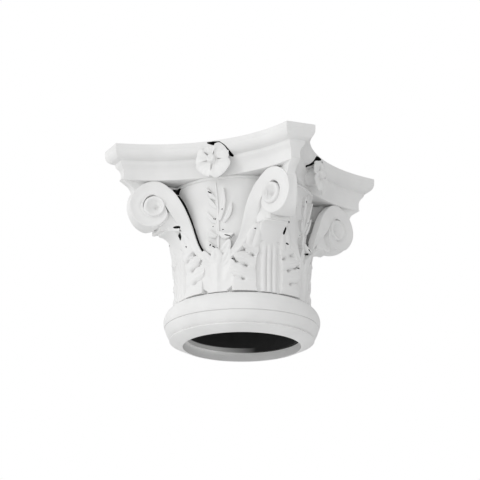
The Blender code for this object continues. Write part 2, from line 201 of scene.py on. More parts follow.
def corner_leaf_point(across, along, proud):
    """Leaf space to the corner at +X -Y: across from the midrib, up the leaf, out from it."""
    if along <= leaf_straight:
        height = bell_foot + along
        round_radius = bell_radius(height)
        out = round_radius + proud
    else:
        place = min(0.9999, (along - leaf_straight) / (leaf_length - leaf_straight)) * (len(leaf_head) - 1)
        i = int(place)
        before, after = leaf_head[max(0, i - 1)], leaf_head[min(len(leaf_head) - 1, i + 2)]
        spot = leaf_head[i].lerp(leaf_head[i + 1], place - i)
        way = (after - before).normalized()
        out, height = spot.x + way.y * proud, spot.y - way.x * proud
        round_radius = head_round
    angle = corner_turn + across / round_radius
    return Vector((out * sin(angle), -out * cos(angle), height))


def lobe_at(share):
    """How far up its lobe a height lies, and that lobe's reach and two notches."""
    starts = [lobe[0] for lobe in leaf_lobes] + [leaf_lobes_end[0]]
    notches = [lobe[2] for lobe in leaf_lobes] + [leaf_lobes_end[1]]
    for i, lobe in enumerate(leaf_lobes):
        if share < starts[i + 1]:
            up = max(0.0, (share - starts[i]) / (starts[i + 1] - starts[i]))
            return up, lobe[1], notches[i], notches[i + 1]
    return None


def corner_leaf_half(along):
    """The leaf's half width: round lobes with three teeth each, then the smooth head."""
    share = along / leaf_straight
    lobe = lobe_at(share)
    if lobe is None:
        start = leaf_lobes_end[0] * leaf_straight
        end = (along - start) / (leaf_length - start)
        swell = through(((0.0, leaf_lobes_end[1]), (0.35, head_half), (0.65, head_half)), end)
        tip = max(0.0, (end - 0.55) / 0.45)
        return max(0.006, swell * sqrt(max(0.0, 1 - 0.93 * tip**2.6)))
    up, reach, notch_below, notch_above = lobe
    notch = notch_below + (notch_above - notch_below) * up
    bulge = (4 * up * (1 - up)) ** 0.5 * (0.8 + 0.4 * up)
    teeth = 0.955 + 0.045 * abs(sin(3 * pi * up))
    return notch + (reach - notch) * bulge * teeth


def corner_leaf_relief(x, half, along):
    """How far the carved front stands out from the bell or from the curl's own line."""
    share = along / leaf_straight
    side = abs(x)
    edge = min(1.0, max(0.0, (half - side) / 0.0036))
    rounding = sqrt(max(0.0, 1 - (1 - edge) ** 2))
    head = between(1.2, 1.55, share)
    height = 0.0080 + 0.0020 * between(0.5, 1.2, share) - 0.0015 * head
    # The three ribs are half rounds that fade out under the head.
    pipes = 1 - between(rib_half - 0.0008, rib_half + 0.0010, side)
    pipe = (side / rib_width + 0.5) % 1.0
    pipe_round = sqrt(max(0.0, 1 - (2 * pipe - 1) ** 2)) - 0.55
    pipes *= 1 - between(1.0, 1.30, share)
    height += 0.0040 * pipes * pipe_round
    if share < leaf_lobes_end[0]:
        up = lobe_at(share)[0]
        inner = rib_half + 0.0045 + 0.004 * sin(pi * max(0.0, min(1.0, share)))
        blade = between(inner - 0.0006, inner + 0.0016, side)
        valley = between(rib_half, rib_half + 0.0012, side) * (1 - blade)
        out_share = max(0.0, min(1.0, (side - inner) / max(0.004, half - inner)))
        crown = sin(pi * up) ** 0.6
        fold = exp(-((up / 0.085) ** 2)) + exp(-(((1 - up) / 0.055) ** 2))
        fade = 1 - between(1.0, 1.24, share)
        carving = -0.0030 * valley + blade * (0.0012 + 0.0020 * crown + 0.0026 * out_share**2 * crown)
        carving -= blade * 0.0038 * fold * between(0.42, 0.78, out_share)
        carving += blade * 0.0007 * cos(6 * pi * up) * between(0.15, 0.6, out_share)
        height += fade * carving
        # A drilled eye at the inner end of each notch.
        for start, notch, deep in leaf_eyes:
            dx, dy = side - notch * 0.74, (share - start) * leaf_straight
            height -= deep * exp(-((dx / 0.0030) ** 2) - (dy / 0.0019) ** 2)
    height += head * 0.0022 * (1 - (side / half) ** 2)
    return height * rounding - 0.0025 * (1 - rounding) * (1 - head)


def corner_leaf_place(across, up, in_front):
    """The ribs keep their width all the way up; only the blade beyond them follows the lobes."""
    along = leaf_foot + (leaf_length - leaf_foot) * up
    half = corner_leaf_half(along)
    share = along / leaf_straight
    middle = min(rib_half + 0.006, 0.80 * half)
    beyond = max(0.0, abs(across) - leaf_middle) / (1 - leaf_middle)
    x = middle * min(1.0, abs(across) / leaf_middle) + (half - middle) * beyond
    x = x if across > 0 else -x
    rise = through(leaf_sweep, share) * beyond * through(leaf_sweep_reach, share)
    if in_front:
        proud = corner_leaf_relief(x, half, along)
    else:
        proud = -leaf_wall + (leaf_wall - 0.0005) * between(1.12, 1.30, share)
    # The head is hollow behind and its edges droop a little.
    droop = 0.16 * across * across * head_half * between(1.4, 1.9, share)
    return corner_leaf_point(x, along + rise - droop, proud)


carved = [solid("corner_leaf", carved_plate(72, 96, corner_leaf_place))]

# The low face leaves
# A short smooth leaf stands at the foot of each face, between the corner leaves. It opens like
# a fan, with soft folds from its foot to its edge, and its head leans out from the bell.
face_leaf_height = 0.0735
face_leaf_outline = ((0.0, 0.020), (0.12, 0.030), (0.27, 0.036), (0.34, 0.033), (0.5, 0.040))
face_leaf_outline += ((0.62, 0.041), (0.69, 0.036), (0.80, 0.033), (0.92, 0.022), (1.0, 0.006))


def face_leaf_place(across, up, in_front):
    """The leaf's folds fan out from its foot; its edge is round and its head leans out."""
    half = through(face_leaf_outline, up)
    x = half * across
    reach = up + 0.10 * abs(across) * sin(pi * min(1.0, up * 1.1))
    height = bell_foot + leaf_foot + (face_leaf_height - leaf_foot) * reach
    if not in_front:
        return bell_point(x / bell_foot_radius, height, -leaf_wall)
    edge = min(1.0, (1 - abs(across)) * half / 0.0040, (1.02 - up) * face_leaf_height / 0.0040)
    rounding = sqrt(max(0.0, 1 - (1 - max(0.0, edge)) ** 2))
    fan = atan2(x, height - bell_foot + 0.012)
    lean = 0.0070 + 0.0050 * up**2
    folds = 0.0013 * cos(fan * 17) * between(0.15, 0.5, up)
    keel = 0.0022 * exp(-((x / 0.006) ** 2)) * (1 - between(0.6, 0.95, up))
    proud = (lean + folds + keel + 0.002 * abs(across) ** 3) * rounding - 0.0025 * (1 - rounding)
    return bell_point(x / bell_foot_radius, height, proud)


carved.append(solid("face_leaf", carved_plate(44, 52, face_leaf_place)))

# The stalks and volutes
# On each face two flat stalks rise from behind the low leaf, bend outwards and roll up under the
# corners of the abacus. Two scrolls meet back to back at each corner along a narrow nose.
abacus_half_width = 0.2144
abacus_side_half = 0.1729
abacus_hollow = 0.0548
abacus_inset = 0.025
volute_setback = 0.0033
side_arc = (abacus_side_half**2 + abacus_hollow**2) / (2 * abacus_hollow)
side_arc_centre = abacus_half_width - abacus_hollow + side_arc
volute_arc = side_arc + abacus_inset + volute_setback
eye_across, eye_height = 0.1213, abacus_bottom - 0.0515
stalk_proud = 0.0150
plate_depth = 0.0140
# Turn from over the eye, in degrees, and the outer and inner edge of the band there.
scroll_edges = (
    (0, 0.0518, 0.0242), (45, 0.0492, 0.0252), (90, 0.0472, 0.0270), (135, 0.0436, 0.0240),
    (180, 0.0392, 0.0205), (225, 0.0318, 0.0160), (265, 0.0215, 0.0110), (300, 0.0190, 0.0110),
)
# Stalk: across and height of its middle, and its width.
stalk_line = (
    (0.000, 0.1375, 0.0110), (0.018, 0.1400, 0.0115), (0.0341, 0.1525, 0.0125), (0.0457, 0.1704, 0.0150),
    (0.0555, 0.1915, 0.0190), (0.0637, 0.2115, 0.0230), (0.0726, 0.2308, 0.0268), (0.0832, 0.2511, 0.0290),
    (0.0975, 0.2715, 0.0285),
)


def volute_point(across, height, proud):
    """A point on the upright hollow surface that the volutes of the -Y face lie on."""
    turn = across / volute_arc
    r = volute_arc - proud
    return Vector((r * sin(turn), -(side_arc_centre - r * cos(turn)), height))


def corner_plane(across):
    """Where the plane between two faces lies, as a distance in front of the volute surface."""
    turn = across / volute_arc
    return volute_arc - side_arc_centre / (sin(turn) + cos(turn))


def bell_level(across, height):
    """Where the bell lies, as a distance in front of the volute surface."""
    r = bell_radius(height)
    wide = min(abs(across), r * 0.98)
    return volute_arc - (side_arc_centre - sqrt(r * r - wide * wide)) / cos(across / volute_arc)


def on_side(side, p):
    """The point itself, or for side -1 its mirror image across the middle of the face."""
    return Vector((side * p.x, p.y, p.z))


def way_along(line, i):
    """The way of a curve at one of its points, across and up."""
    before, after = line[max(0, i - 1)], line[min(len(line) - 1, i + 1)]
    return Vector((after[0] - before[0], after[1] - before[1])).normalized()


def stalk_level(across, height):
    """The stalk hugs the bell at its foot and comes out to the volute surface higher up."""
    free = max(between(0.180, 0.246, height), between(0.082, 0.096, abs(across)))
    proud = stalk_proud * (0.25 + 0.75 * between(0.006, 0.032, abs(across)))
    return (1 - free) * (bell_level(across, height) + proud)


def swept(stations):
    """A closed solid drawn out through its stations, each a ring of as many points."""
    bm = bmesh.new()
    ring = bmesh.ops.create_circle(bm, cap_ends=True, segments=len(stations[0]), radius=1)["verts"]
    for v, place in zip(ring, stations[0]):
        v.co = place
    face = bm.faces[:][0]
    for station in stations[1:]:
        region = [face] + list(face.edges) + list(face.verts)
        out = bmesh.ops.extrude_face_region(bm, geom=region)["geom"]
        face = [g for g in out if isinstance(g, bmesh.types.BMFace)][0]
        for v, place in zip(face.verts, station):
            v.co = place
    return bm


def band_stations(side):
    """The stalk and the scroll's outer turn as one band with soft edges."""
    points = list(stalk_line)
    for turn, outer, inner in scroll_edges:
        a = radians(turn)
        middle = (outer + inner) / 2
        points.append((eye_across + middle * sin(a), eye_height + middle * cos(a), outer - inner))
    line = smooth_curve(points, 7)
    stations = []
    for i, (x, z, width) in enumerate(line):
        along = way_along(line, i)
        out = Vector((-along.y, along.x))
        half = width / 2
        soft = min(0.0016, half * 0.3)
        # The band's face is slightly hollow between its soft edges.
        section = [(half, None), (half, -soft), (half - 0.3 * soft, -0.3 * soft), (half - soft, 0.0)]
        section += [(0.45 * half, -0.0009), (0.0, -0.0012), (-0.45 * half, -0.0009)]
        section += [(-half + soft, 0.0), (-half + 0.3 * soft, -0.3 * soft), (-half, -soft), (-half, None)]
        station = []
        for offset, level in section:
            across, height = x + out.x * offset, z + out.y * offset
            front = stalk_level(across, height)
            if level is None:
                sunk = bell_level(across, height) - 0.003
                plate = max(corner_plane(across) - 0.002, front - plate_depth)
                loose = between(0.190, 0.215, height)
                level = min(front - 0.004, sunk + (plate - sunk) * loose)
            else:
                level += front
            station.append(on_side(side, volute_point(across, height, level)))
        stations.append(station)
    return stations


# The way in which the gap beside a stalk slants back, how deep it is sunk into the bell, and how
# wide it is there: beyond the place where it meets the bell, and on its near side at foot and top.
undercut_way = Vector((0.364, 0.931, 0.280)).normalized()
undercut_step, undercut_steps = 0.0005, 200
undercut_sunk = -0.0025
undercut_beyond = 0.018
undercut_foot_width, undercut_more_at_top = 0.036, 0.030


def undercut(side):
    """A cutter for the dark gap behind the inner edge of a stalk, from its foot to its top."""
    line = smooth_curve(stalk_line[2:], 5)
    stations = []
    for i, (x, z, width) in enumerate(line):
        along = way_along(line, i)
        across, height = x - along.y * width / 2, z + along.x * width / 2
        # It slants back and outwards from under the stalk's edge till it meets the bell.
        share = i / (len(line) - 1)
        lip = 0.0080 - 0.0040 * share
        spot = volute_point(across, height, stalk_level(across, height) - lip)
        first = atan2(spot.x, -spot.y) - 0.004
        for _ in range(undercut_steps):
            if hypot(spot.x, spot.y) < bell_radius(spot.z):
                break
            spot += undercut_way * undercut_step
        angle = atan2(spot.x, -spot.y)
        inner = max(first, angle - undercut_foot_width - undercut_more_at_top * share)
        ring = [(angle + undercut_beyond, undercut_sunk), (inner, undercut_sunk)]
        ring += [(turn, stalk_proud - lip) for turn, _ in reversed(ring)]
        stations.append([on_side(side, bell_point(turn, spot.z, proud)) for turn, proud in ring])
    return swept(stations)


disc_depth = 0.022
eye_shift = -0.0045


def disc(side, section, steps, shift=0.0):
    """A round plate about the eye, turned from a (radius, level) section and bent to the face. The
    shift moves its middle sideways, and its back goes past the corner's plane."""
    bm = round_plate(section, steps)
    rim_radius, low = section[-1]
    for v in bm.verts:
        level = v.co.z
        across = eye_across + v.co.x + shift * (1 - hypot(v.co.x, v.co.y) / rim_radius)
        if abs(level - low) < 1e-7:
            level = min(corner_plane(across) - 0.002, -disc_depth)
        v.co = on_side(side, volute_point(across, eye_height + v.co.y, level))
    return bm


# Sections of an eye and a floor; the last level of -1 stands for the plate's back.
eye_section = [(0.0, -0.0125), (0.0020, -0.0122), (0.0036, -0.0100), (0.0052, -0.0058), (0.0078, -0.0040)]
eye_section += [(0.0108, -0.0010), (0.0138, 0.0028), (0.0162, 0.0046), (0.0180, 0.0050), (0.0195, 0.0042)]
eye_section += [(0.0204, 0.0022), (0.0207, -1.0)]
floor_section = [(0.0, -0.0155), (0.0180, -0.0155), (0.0285, -0.0145), (0.0290, -1.0)]
for side in (1, -1):
    carved.append(solid("scroll_band", swept(band_stations(side))))
    carved.append(solid("scroll_eye", disc(side, eye_section, 40, eye_shift)))
    carved.append(solid("scroll_floor", disc(side, floor_section, 28)))

# The fills: where each starts, across and up, and how far it goes from there.
web_start, web_width, web_foot, web_height = 0.078, 0.063, 0.229, 0.070
skirt_start, skirt_width, skirt_foot, skirt_height = 0.076, 0.036, 0.2040, 0.034
skirt_back = -0.036
saddle_start, saddle_reach = 0.126, 0.0525
saddle_top, saddle_sunk = 0.232, 0.0062


def web_place(side):
    """The wall behind a scroll that joins it to its neighbour at the corner."""

    def place(across, up, in_front):
        x = web_start + web_width * (across + 1) / 2
        z = web_foot + web_height * up
        level = corner_plane(x) + (0.007 if in_front else -0.002)
        return on_side(side, volute_point(x, z, level))

    return place


def skirt_place(side):
    """A smooth fill between the scroll and its stalk, below the eye."""

    def place(across, up, in_front):
        x = skirt_start + skirt_width * (across + 1) / 2
        z = skirt_foot + 0.15 * (x - skirt_start) + skirt_height * up
        level = -0.0150 + 0.0050 * up if in_front else skirt_back
        return on_side(side, volute_point(x, z, level))

    return place


def saddle_place(across, up, in_front):
    """The fill between the corner leaf's head and the two scrolls over it."""
    out = saddle_start + saddle_reach * up
    sideways = across * (0.0170 if in_front else 0.0205)
    height = saddle_top if in_front else through(leaf_head_line, out) - saddle_sunk
    return Vector((out + sideways, sideways - out, height * sqrt(2))) / sqrt(2)


for side in (1, -1):
    carved.append(solid("scroll_web", carved_plate(10, 6, web_place(side))))
    carved.append(solid("scroll_skirt", carved_plate(6, 6, skirt_place(side))))
carved.append(solid("saddle", carved_plate(8, 10, saddle_place)))


def rim(turn):
    """The outer edge of the scroll at a turn from over the eye, across and up."""
    degrees_turned = turn * 180 / pi
    for (t0, o0, _), (t1, o1, _) in zip(scroll_edges, scroll_edges[1:]):
        if degrees_turned <= t1:
            r = o0 + (o1 - o0) * (degrees_turned - t0) / (t1 - t0)
            return eye_across + r * sin(turn), eye_height + r * cos(turn), r
    return None


def over_corner(p):
    """The same point on the other side of the corner's upright plane."""
    return Vector((-p.y, -p.x, p.z))


# The nose follows the two rims from one turn to another, in degrees. It lies a little inside them
# and behind them, and its section runs back into the scrolls.
nose_start, nose_sweep, nose_steps = 24, 176, 24
nose_inside, nose_behind = 0.0004, -0.0024
nose_depth, nose_root = 0.026, -0.0006
nose = []
for i in range(nose_steps + 1):
    turn = radians(nose_start + nose_sweep * i / nose_steps)
    across, height, r = rim(turn)
    left = volute_point(across - nose_inside * sin(turn), height - nose_inside * cos(turn), nose_behind)
    r -= nose_depth
    deep = volute_point(eye_across + r * sin(turn), eye_height + r * cos(turn), nose_root)
    inward = (deep - left).normalized()
    half = (over_corner(left) - left).length / 2
    # The wider the gap between the rims, the deeper the nose is hollowed between them.
    dip = 0.0006 + max(0.0, half - 0.0100) * 0.12
    middle = (left + over_corner(left)) / 2 + (inward + over_corner(inward)) / 2 * dip
    soft = left.lerp(middle, 0.12) + inward * 0.0001
    station = [deep, left, soft, middle, over_corner(soft), over_corner(left), over_corner(deep)]
    nose.append(station)
carved.append(solid("nose", swept(nose)))

# The bracket under the abacus's corner: its front line as radius and height, and its section as
# places out from that line and to the side.
bracket_line = (
    (0.2520, 0.3030), (0.2440, 0.2975), (0.2350, 0.2915), (0.2295, 0.2840), (0.2275, 0.2755),
    (0.2280, 0.2660),
)
bracket_section = (
    (-0.085, -0.0075), (-0.0012, -0.0088), (0.0, -0.0078), (0.0, 0.0078), (-0.0012, 0.0088),
    (-0.085, 0.0075),
)
corner_cos = sqrt(0.5)
bracket = []
for p in smooth_curve(bracket_line, 4):
    places = [(p.x + out, a) for out, a in bracket_section]
    bracket.append([Vector((corner_cos * (r + a), -corner_cos * (r - a), p.y)) for r, a in places])
carved.append(solid("bracket", swept(bracket)))

# The small leaves and the sprays
# Small leaves fill the gaps under the scrolls, and a spray of husks, leaves and buds climbs the
# middle of each face between the stalks. They are cast with the bell.
leaflet_sunk = -0.006


def on_bell(across, height, proud):
    """A point on the bell by its place across the -Y face, measured round the bell's foot."""
    return bell_point(across / bell_foot_radius, height, proud)


def leaflet(foot, head, width, lift, bend, curl=0.0):
    """A small closed leaf on the bell, with a groove up its middle and a lifted head."""
    foot, head = Vector(foot), Vector(head)
    line = head - foot
    sideways = Vector((line.y, -line.x)).normalized()

    def put(across, up, in_front):
        half = width / 2 * max(0.12, sin(pi * (0.08 + 0.90 * up) ** 0.9) ** 0.65)
        spot = foot + line * up + sideways * (across * half + bend * sin(pi * up))
        if not in_front:
            return on_bell(spot.x, spot.y, leaflet_sunk)
        top = lift[0] + (lift[1] - lift[0]) * up + curl * up**3
        swell = 0.30 * half * sqrt(max(0.0, 1 - across * across))
        groove = 0.22 * half * exp(-((across / 0.22) ** 2)) * sin(pi * up)
        return on_bell(spot.x, spot.y, top + swell - groove)

    return carved_plate(8, 12, put)


for side in (1, -1):
    # Under each scroll, between the stalk and the corner leaf's head.
    calyx = leaflet((side * 0.058, 0.150), (side * 0.072, 0.206), 0.027, (0.008, 0.0175), 0.0, 0.003)
    carved.append(solid("calyx_leaf", calyx))

stem_foot, stem_top = 0.150, abacus_bottom - 0.012
# Foot, head, width, how far foot and head stand out, and the sideways bend.
sprigs = (
    ((0.000, stem_foot), (0.000, stem_top), 0.0065, (0.003, 0.002), 0.0),
    ((0.000, 0.126), (0.000, 0.160), 0.0240, (0.008, 0.014), 0.0),
    ((0.006, 0.126), (0.024, 0.157), 0.0200, (0.006, 0.014), 0.004),
    ((-0.006, 0.126), (-0.024, 0.157), 0.0200, (0.006, 0.014), -0.004),
    ((0.004, 0.150), (0.024, 0.175), 0.0170, (0.006, 0.014), 0.004),
    ((-0.004, 0.150), (-0.017, 0.177), 0.0150, (0.006, 0.013), -0.003),
    ((0.003, 0.192), (0.031, 0.187), 0.0120, (0.005, 0.013), 0.006),
    ((-0.002, 0.184), (-0.016, 0.199), 0.0120, (0.005, 0.011), -0.003),
    ((0.004, 0.216), (0.014, 0.276), 0.0090, (0.003, 0.009), 0.003),
    ((0.012, 0.212), (0.027, 0.248), 0.0090, (0.003, 0.008), 0.003),
    ((-0.002, 0.212), (-0.019, 0.234), 0.0090, (0.003, 0.008), -0.003),
    ((-0.001, 0.240), (-0.013, 0.260), 0.0080, (0.003, 0.007), -0.002),
    ((-0.001, 0.256), (-0.016, 0.279), 0.0085, (0.003, 0.008), -0.002),
)
for foot, head, width, lift, bend in sprigs:
    carved.append(solid("sprig", leaflet(foot, head, width, lift, bend)))

# Drilled eyes: across, height, length, width, tilt in degrees and how far out their floor lies.
drilled_eyes = (
    (-0.0046, 0.2200, 0.0024, 0.0016, 20, 0.000), (-0.0040, 0.1640, 0.0046, 0.0017, -25, 0.002),
    (0.0130, 0.1750, 0.0036, 0.0018, 30, 0.002), (-0.0110, 0.1675, 0.0020, 0.0014, 60, 0.003),
    (0.0095, 0.1985, 0.0016, 0.0012, 0, 0.000), (-0.0100, 0.2700, 0.0042, 0.0012, -35, 0.000),
    (0.0105, 0.2360, 0.0016, 0.0011, 70, 0.000), (-0.0090, 0.2060, 0.0026, 0.0011, -20, 0.000),
    (0.0200, 0.1835, 0.0062, 0.0011, -20, 0.001), (0.0660, 0.1940, 0.0018, 0.0012, 0, 0.008),
    (-0.0715, 0.1960, 0.0080, 0.0026, 80, 0.005), (-0.0690, 0.2120, 0.0042, 0.0026, 10, 0.005),
    (-0.0620, 0.1740, 0.0032, 0.0014, -30, 0.006), (0.0290, 0.1380, 0.0022, 0.0014, 40, 0.003),
    (-0.0300, 0.1340, 0.0020, 0.0014, -40, 0.003),
)
drill_top = 0.034


def drilled(across, height, length, width, tilt, floor_proud):
    """A cutter for a drilled eye: an oval pin with eight sides, from the eye's floor out."""
    turn = Matrix.Rotation(radians(tilt), 2)
    ring = [turn @ Vector((length * cos(t), width * sin(t))) for t in [corner_turn * i for i in range(8)]]
    stations = []
    for proud in (floor_proud, drill_top):
        stations.append([on_bell(across + p.x, height + p.y, proud) for p in ring])
    return solid("drilled_eye", swept(stations))


# The abacus
# The moulded top slab, cast with the bell: a fillet, a quarter round, a small fillet and an ogee
# over a plain face. Its sides are hollowed on plan and its corners are cut off square.
drop, inset = abacus_height, abacus_inset
ovolo_turns = [0.157 * i for i in range(11)]
ovolo = [(0.60 * inset * (1 - cos(t)), drop * (0.155 + 0.275 * sin(t))) for t in ovolo_turns]
# Shares of the height down from the top, and of the inset.
ogee_points = (
    (0.520, 0.665), (0.550, 0.690), (0.585, 0.760), (0.620, 0.840), (0.655, 0.905), (0.700, 0.960),
    (0.745, 0.985),
)
ogee = [(inset * w, drop * h) for h, w in ogee_points]
abacus_section = [(0.0007, 0.0), (0.0002, 0.0002), (0.0, 0.0007), (0.0, 0.0092), (0.0004, 0.0097)]
abacus_section += ovolo[1:]
abacus_section += [(0.635 * inset, 0.436 * drop), (0.650 * inset, 0.445 * drop)]
abacus_section += [(0.655 * inset, 0.505 * drop)] + ogee
abacus_section += [(inset, 0.760 * drop), (inset, drop - 0.0008)]
abacus_section += [(inset + 0.0002, drop - 0.0002), (inset + 0.0008, drop)]
abacus_side_steps = 36


def abacus_ring(inward, height):
    """The plan at one level: four hollow sides about the same centres, and the cut corners."""
    r = side_arc + inward
    diagonal = (abacus_half_width + abacus_side_half) / sqrt(2) - inward
    end = acos((side_arc_centre / sqrt(2) - diagonal) / r) - corner_turn
    ring = []
    for face in range(4):
        turn = Matrix.Rotation(face * quarter_turn, 3, "Z")
        for i in range(abacus_side_steps + 1):
            a = end * (2 * i / abacus_side_steps - 1)
            ring.append(turn @ Vector((r * sin(a), r * cos(a) - side_arc_centre, height)))
    return ring


rings = [abacus_ring(inward, capital_height - down) for inward, down in abacus_section]
abacus = solid("abacus", swept(rings))

# The flowers
# A five-petalled flower with a round button covers the middle of each side of the abacus. Its
# petals stand off the moulding, and deep slots are left in the casting behind them.
flower_height = capital_height - 0.0370
flower_out = side_arc_centre - side_arc - 0.0045
flower_across = 0.0020


def flower_point(across, up, proud):
    """A point by its place from the flower's middle: across, up and out from the abacus."""
    return Vector((flower_across + across, -(flower_out + proud), flower_height + up))


# Each petal's place round the button in degrees, its half spread and its reach.
petal_shapes = (
    (32, 44, 0.0350), (100, 36, 0.0272), (166, 34, 0.0330), (232, 40, 0.0350), (313, 46, 0.0398),
)


def petal(place, spread, reach):
    """A cupped petal with a wavy edge and a crease up its middle."""

    def put(across, up, in_front):
        angle = radians(place + across * spread * (0.62 + 0.38 * up))
        lobes = 1 - 0.16 * across**4 - 0.06 * exp(-((across / 0.16) ** 2)) * up
        lobes += 0.025 * cos(9 * across) * up
        r = reach * (0.10 + 0.90 * up) * lobes
        rise = min(r * sin(angle), capital_height - 0.0012 - flower_height)
        cup = 0.0030 + 0.0100 * up - 0.0062 * up**4 + 0.0026 * across * across * up
        crease = -0.0024 * exp(-((across / 0.15) ** 2)) * up + 0.0012 * cos(6 * across) * up
        thick = 0.0042 - 0.0020 * up
        return flower_point(r * cos(angle), rise, cup + crease - (0 if in_front else thick))

    return solid("petal", carved_plate(18, 14, put))


def button():
    """The round button with a dimple, on a stub that runs back into the abacus."""
    section = [(0.0, 0.0120), (0.0020, 0.0124), (0.0036, 0.0136), (0.0056, 0.0144), (0.0076, 0.0132)]
    section += [(0.0088, 0.0104), (0.0090, 0.0060), (0.0150, 0.0030), (0.0185, -0.0040), (0.0200, -0.0360)]
    bm = round_plate(section, 28)
    for v in bm.verts:
        v.co = flower_point(v.co.x, v.co.y, v.co.z)
    return solid("button", bm)


# The outer and inner edge of each gap behind the petals, across and up from the flower's middle.
long_slot = (
    ((-0.0110, 0.0350), (-0.0090, 0.0315)), ((0.0020, 0.0352), (0.0030, 0.0270)),
    ((0.0155, 0.0335), (0.0110, 0.0225)), ((0.0270, 0.0245), (0.0205, 0.0165)),
    ((0.0350, 0.0140), (0.0290, 0.0080)), ((0.0390, 0.0060), (0.0365, 0.0045)),
)
short_slot = (
    ((-0.0300, 0.0150), (-0.0285, 0.0130)), ((-0.0268, 0.0195), (-0.0235, 0.0160)),
    ((-0.0215, 0.0220), (-0.0200, 0.0200)),
)
slot_front, slot_back = 0.030, -0.050


def slot(hand, edges):
    """The gap behind the upper petals, cut through into the hollow of the capital."""
    stations = []
    for outer, inner in edges:
        ring = [(outer, slot_front), (inner, slot_front), (inner, slot_back), (outer, slot_back)]
        stations.append([flower_point(hand * x, up, depth) for (x, up), depth in ring])
    return solid("slot", swept(stations))


flower = [petal(*shape) for shape in petal_shapes] + [button()]

# One casting
# All of the forms above are one moulding of white polymer: the quarter that was carved is set at
# each face and corner, and everything is fused into one skin, hollow inside and open at the top.
chamber_radius = 0.124
socket_depth = 0.0165
passage_start, passage_end = 0.0250, 0.0920
chamber_wall = 0.020
cut_beyond = 0.01
# Height from which the inside gets the near-black coat of painted shade; the socket below it stays white.
painted_shade_above = 0.0160


def at_sides(pieces, faces=(0, 1, 2, 3)):
    """Puts copies of the pieces, which were made for the -Y face, at these faces instead."""
    copies = []
    for piece in pieces:
        for face in faces:
            copy = bpy.data.objects.new(piece.name, piece.data.copy())
            copy.data.transform(Matrix.Rotation(face * quarter_turn, 4, "Z"))
            bpy.context.scene.collection.objects.link(copy)
            copies.append(copy)
        bpy.data.objects.remove(piece)
    return copies


def painted_shade_cut(piece, above=-1.0):
    """Marks a cutter: what it leaves above this height gets the near-black coat of painted shade."""
    for face in piece.data.polygons:
        face.material_index = int(face.center.z > above)
    return piece


def fuse(target, pieces, operation):
    """Adds the pieces to the target, or cuts them from it, and clears them away."""
    for piece in [target] + pieces:
        if not piece.data.materials:
            piece.data.materials.append(paint)
            piece.data.materials.append(painted_shade_coat)
    group = bpy.data.collections.new("fusing")
    bpy.context.scene.collection.children.link(group)
    for piece in pieces:
        group.objects.link(piece)
    step = target.modifiers.new("fuse", "BOOLEAN")
    step.operation = operation
    step.operand_type = "COLLECTION"
    step.solver = "MANIFOLD"
    step.collection = group
    bpy.context.view_layer.update()
    shape = bpy.data.meshes.new_from_object(target.evaluated_get(bpy.context.evaluated_depsgraph_get()))
    target.modifiers.clear()
    target.data = shape
    for piece in pieces:
        bpy.data.objects.remove(piece)
    bpy.data.collections.remove(group)


def node(tree, kind, **values):
    """A shader node with its inputs and settings by name."""
    made = tree.nodes.new(kind)
    for name, value in values.items():
        if name in made.inputs:
            made.inputs[name].default_value = value
        else:
            setattr(made, name, value)
    return made


def white_paint():
    """Smooth white primer on the moulding, a little uneven, with a fine orange peel."""
    material = bpy.data.materials.new("white_primer")
    material.use_nodes = True
    tree = material.node_tree
    shader = tree.nodes["Principled BSDF"]
    place = node(tree, "ShaderNodeTexCoord")
    clouds = node(tree, "ShaderNodeTexNoise", Scale=14.0, Detail=4.0, Roughness=0.55)
    grain = node(tree, "ShaderNodeTexNoise", Scale=900.0, Detail=3.0, Roughness=0.6)
    tones = node(tree, "ShaderNodeValToRGB")
    tones.color_ramp.elements[0].position = 0.30
    tones.color_ramp.elements[0].color = (0.80, 0.80, 0.795, 1)
    tones.color_ramp.elements[1].position = 0.72
    tones.color_ramp.elements[1].color = (0.87, 0.87, 0.865, 1)
    polish = node(tree, "ShaderNodeMapRange")
    polish.inputs["To Min"].default_value = 0.50
    polish.inputs["To Max"].default_value = 0.66
    peel = node(tree, "ShaderNodeBump", Strength=0.10, Distance=0.0004)
    swell = node(tree, "ShaderNodeBump", Strength=0.20, Distance=0.0012)
    for texture in (clouds, grain):
        tree.links.new(place.outputs["Object"], texture.inputs["Vector"])
    tree.links.new(clouds.outputs["Fac"], tones.inputs["Fac"])
    tree.links.new(tones.outputs["Color"], shader.inputs["Base Color"])
    tree.links.new(grain.outputs["Fac"], polish.inputs["Value"])
    tree.links.new(polish.outputs["Result"], shader.inputs["Roughness"])
    tree.links.new(clouds.outputs["Fac"], swell.inputs["Height"])
    tree.links.new(swell.outputs["Normal"], peel.inputs["Normal"])
    tree.links.new(grain.outputs["Fac"], peel.inputs["Height"])
    tree.links.new(peel.outputs["Normal"], shader.inputs["Normal"])
    return material


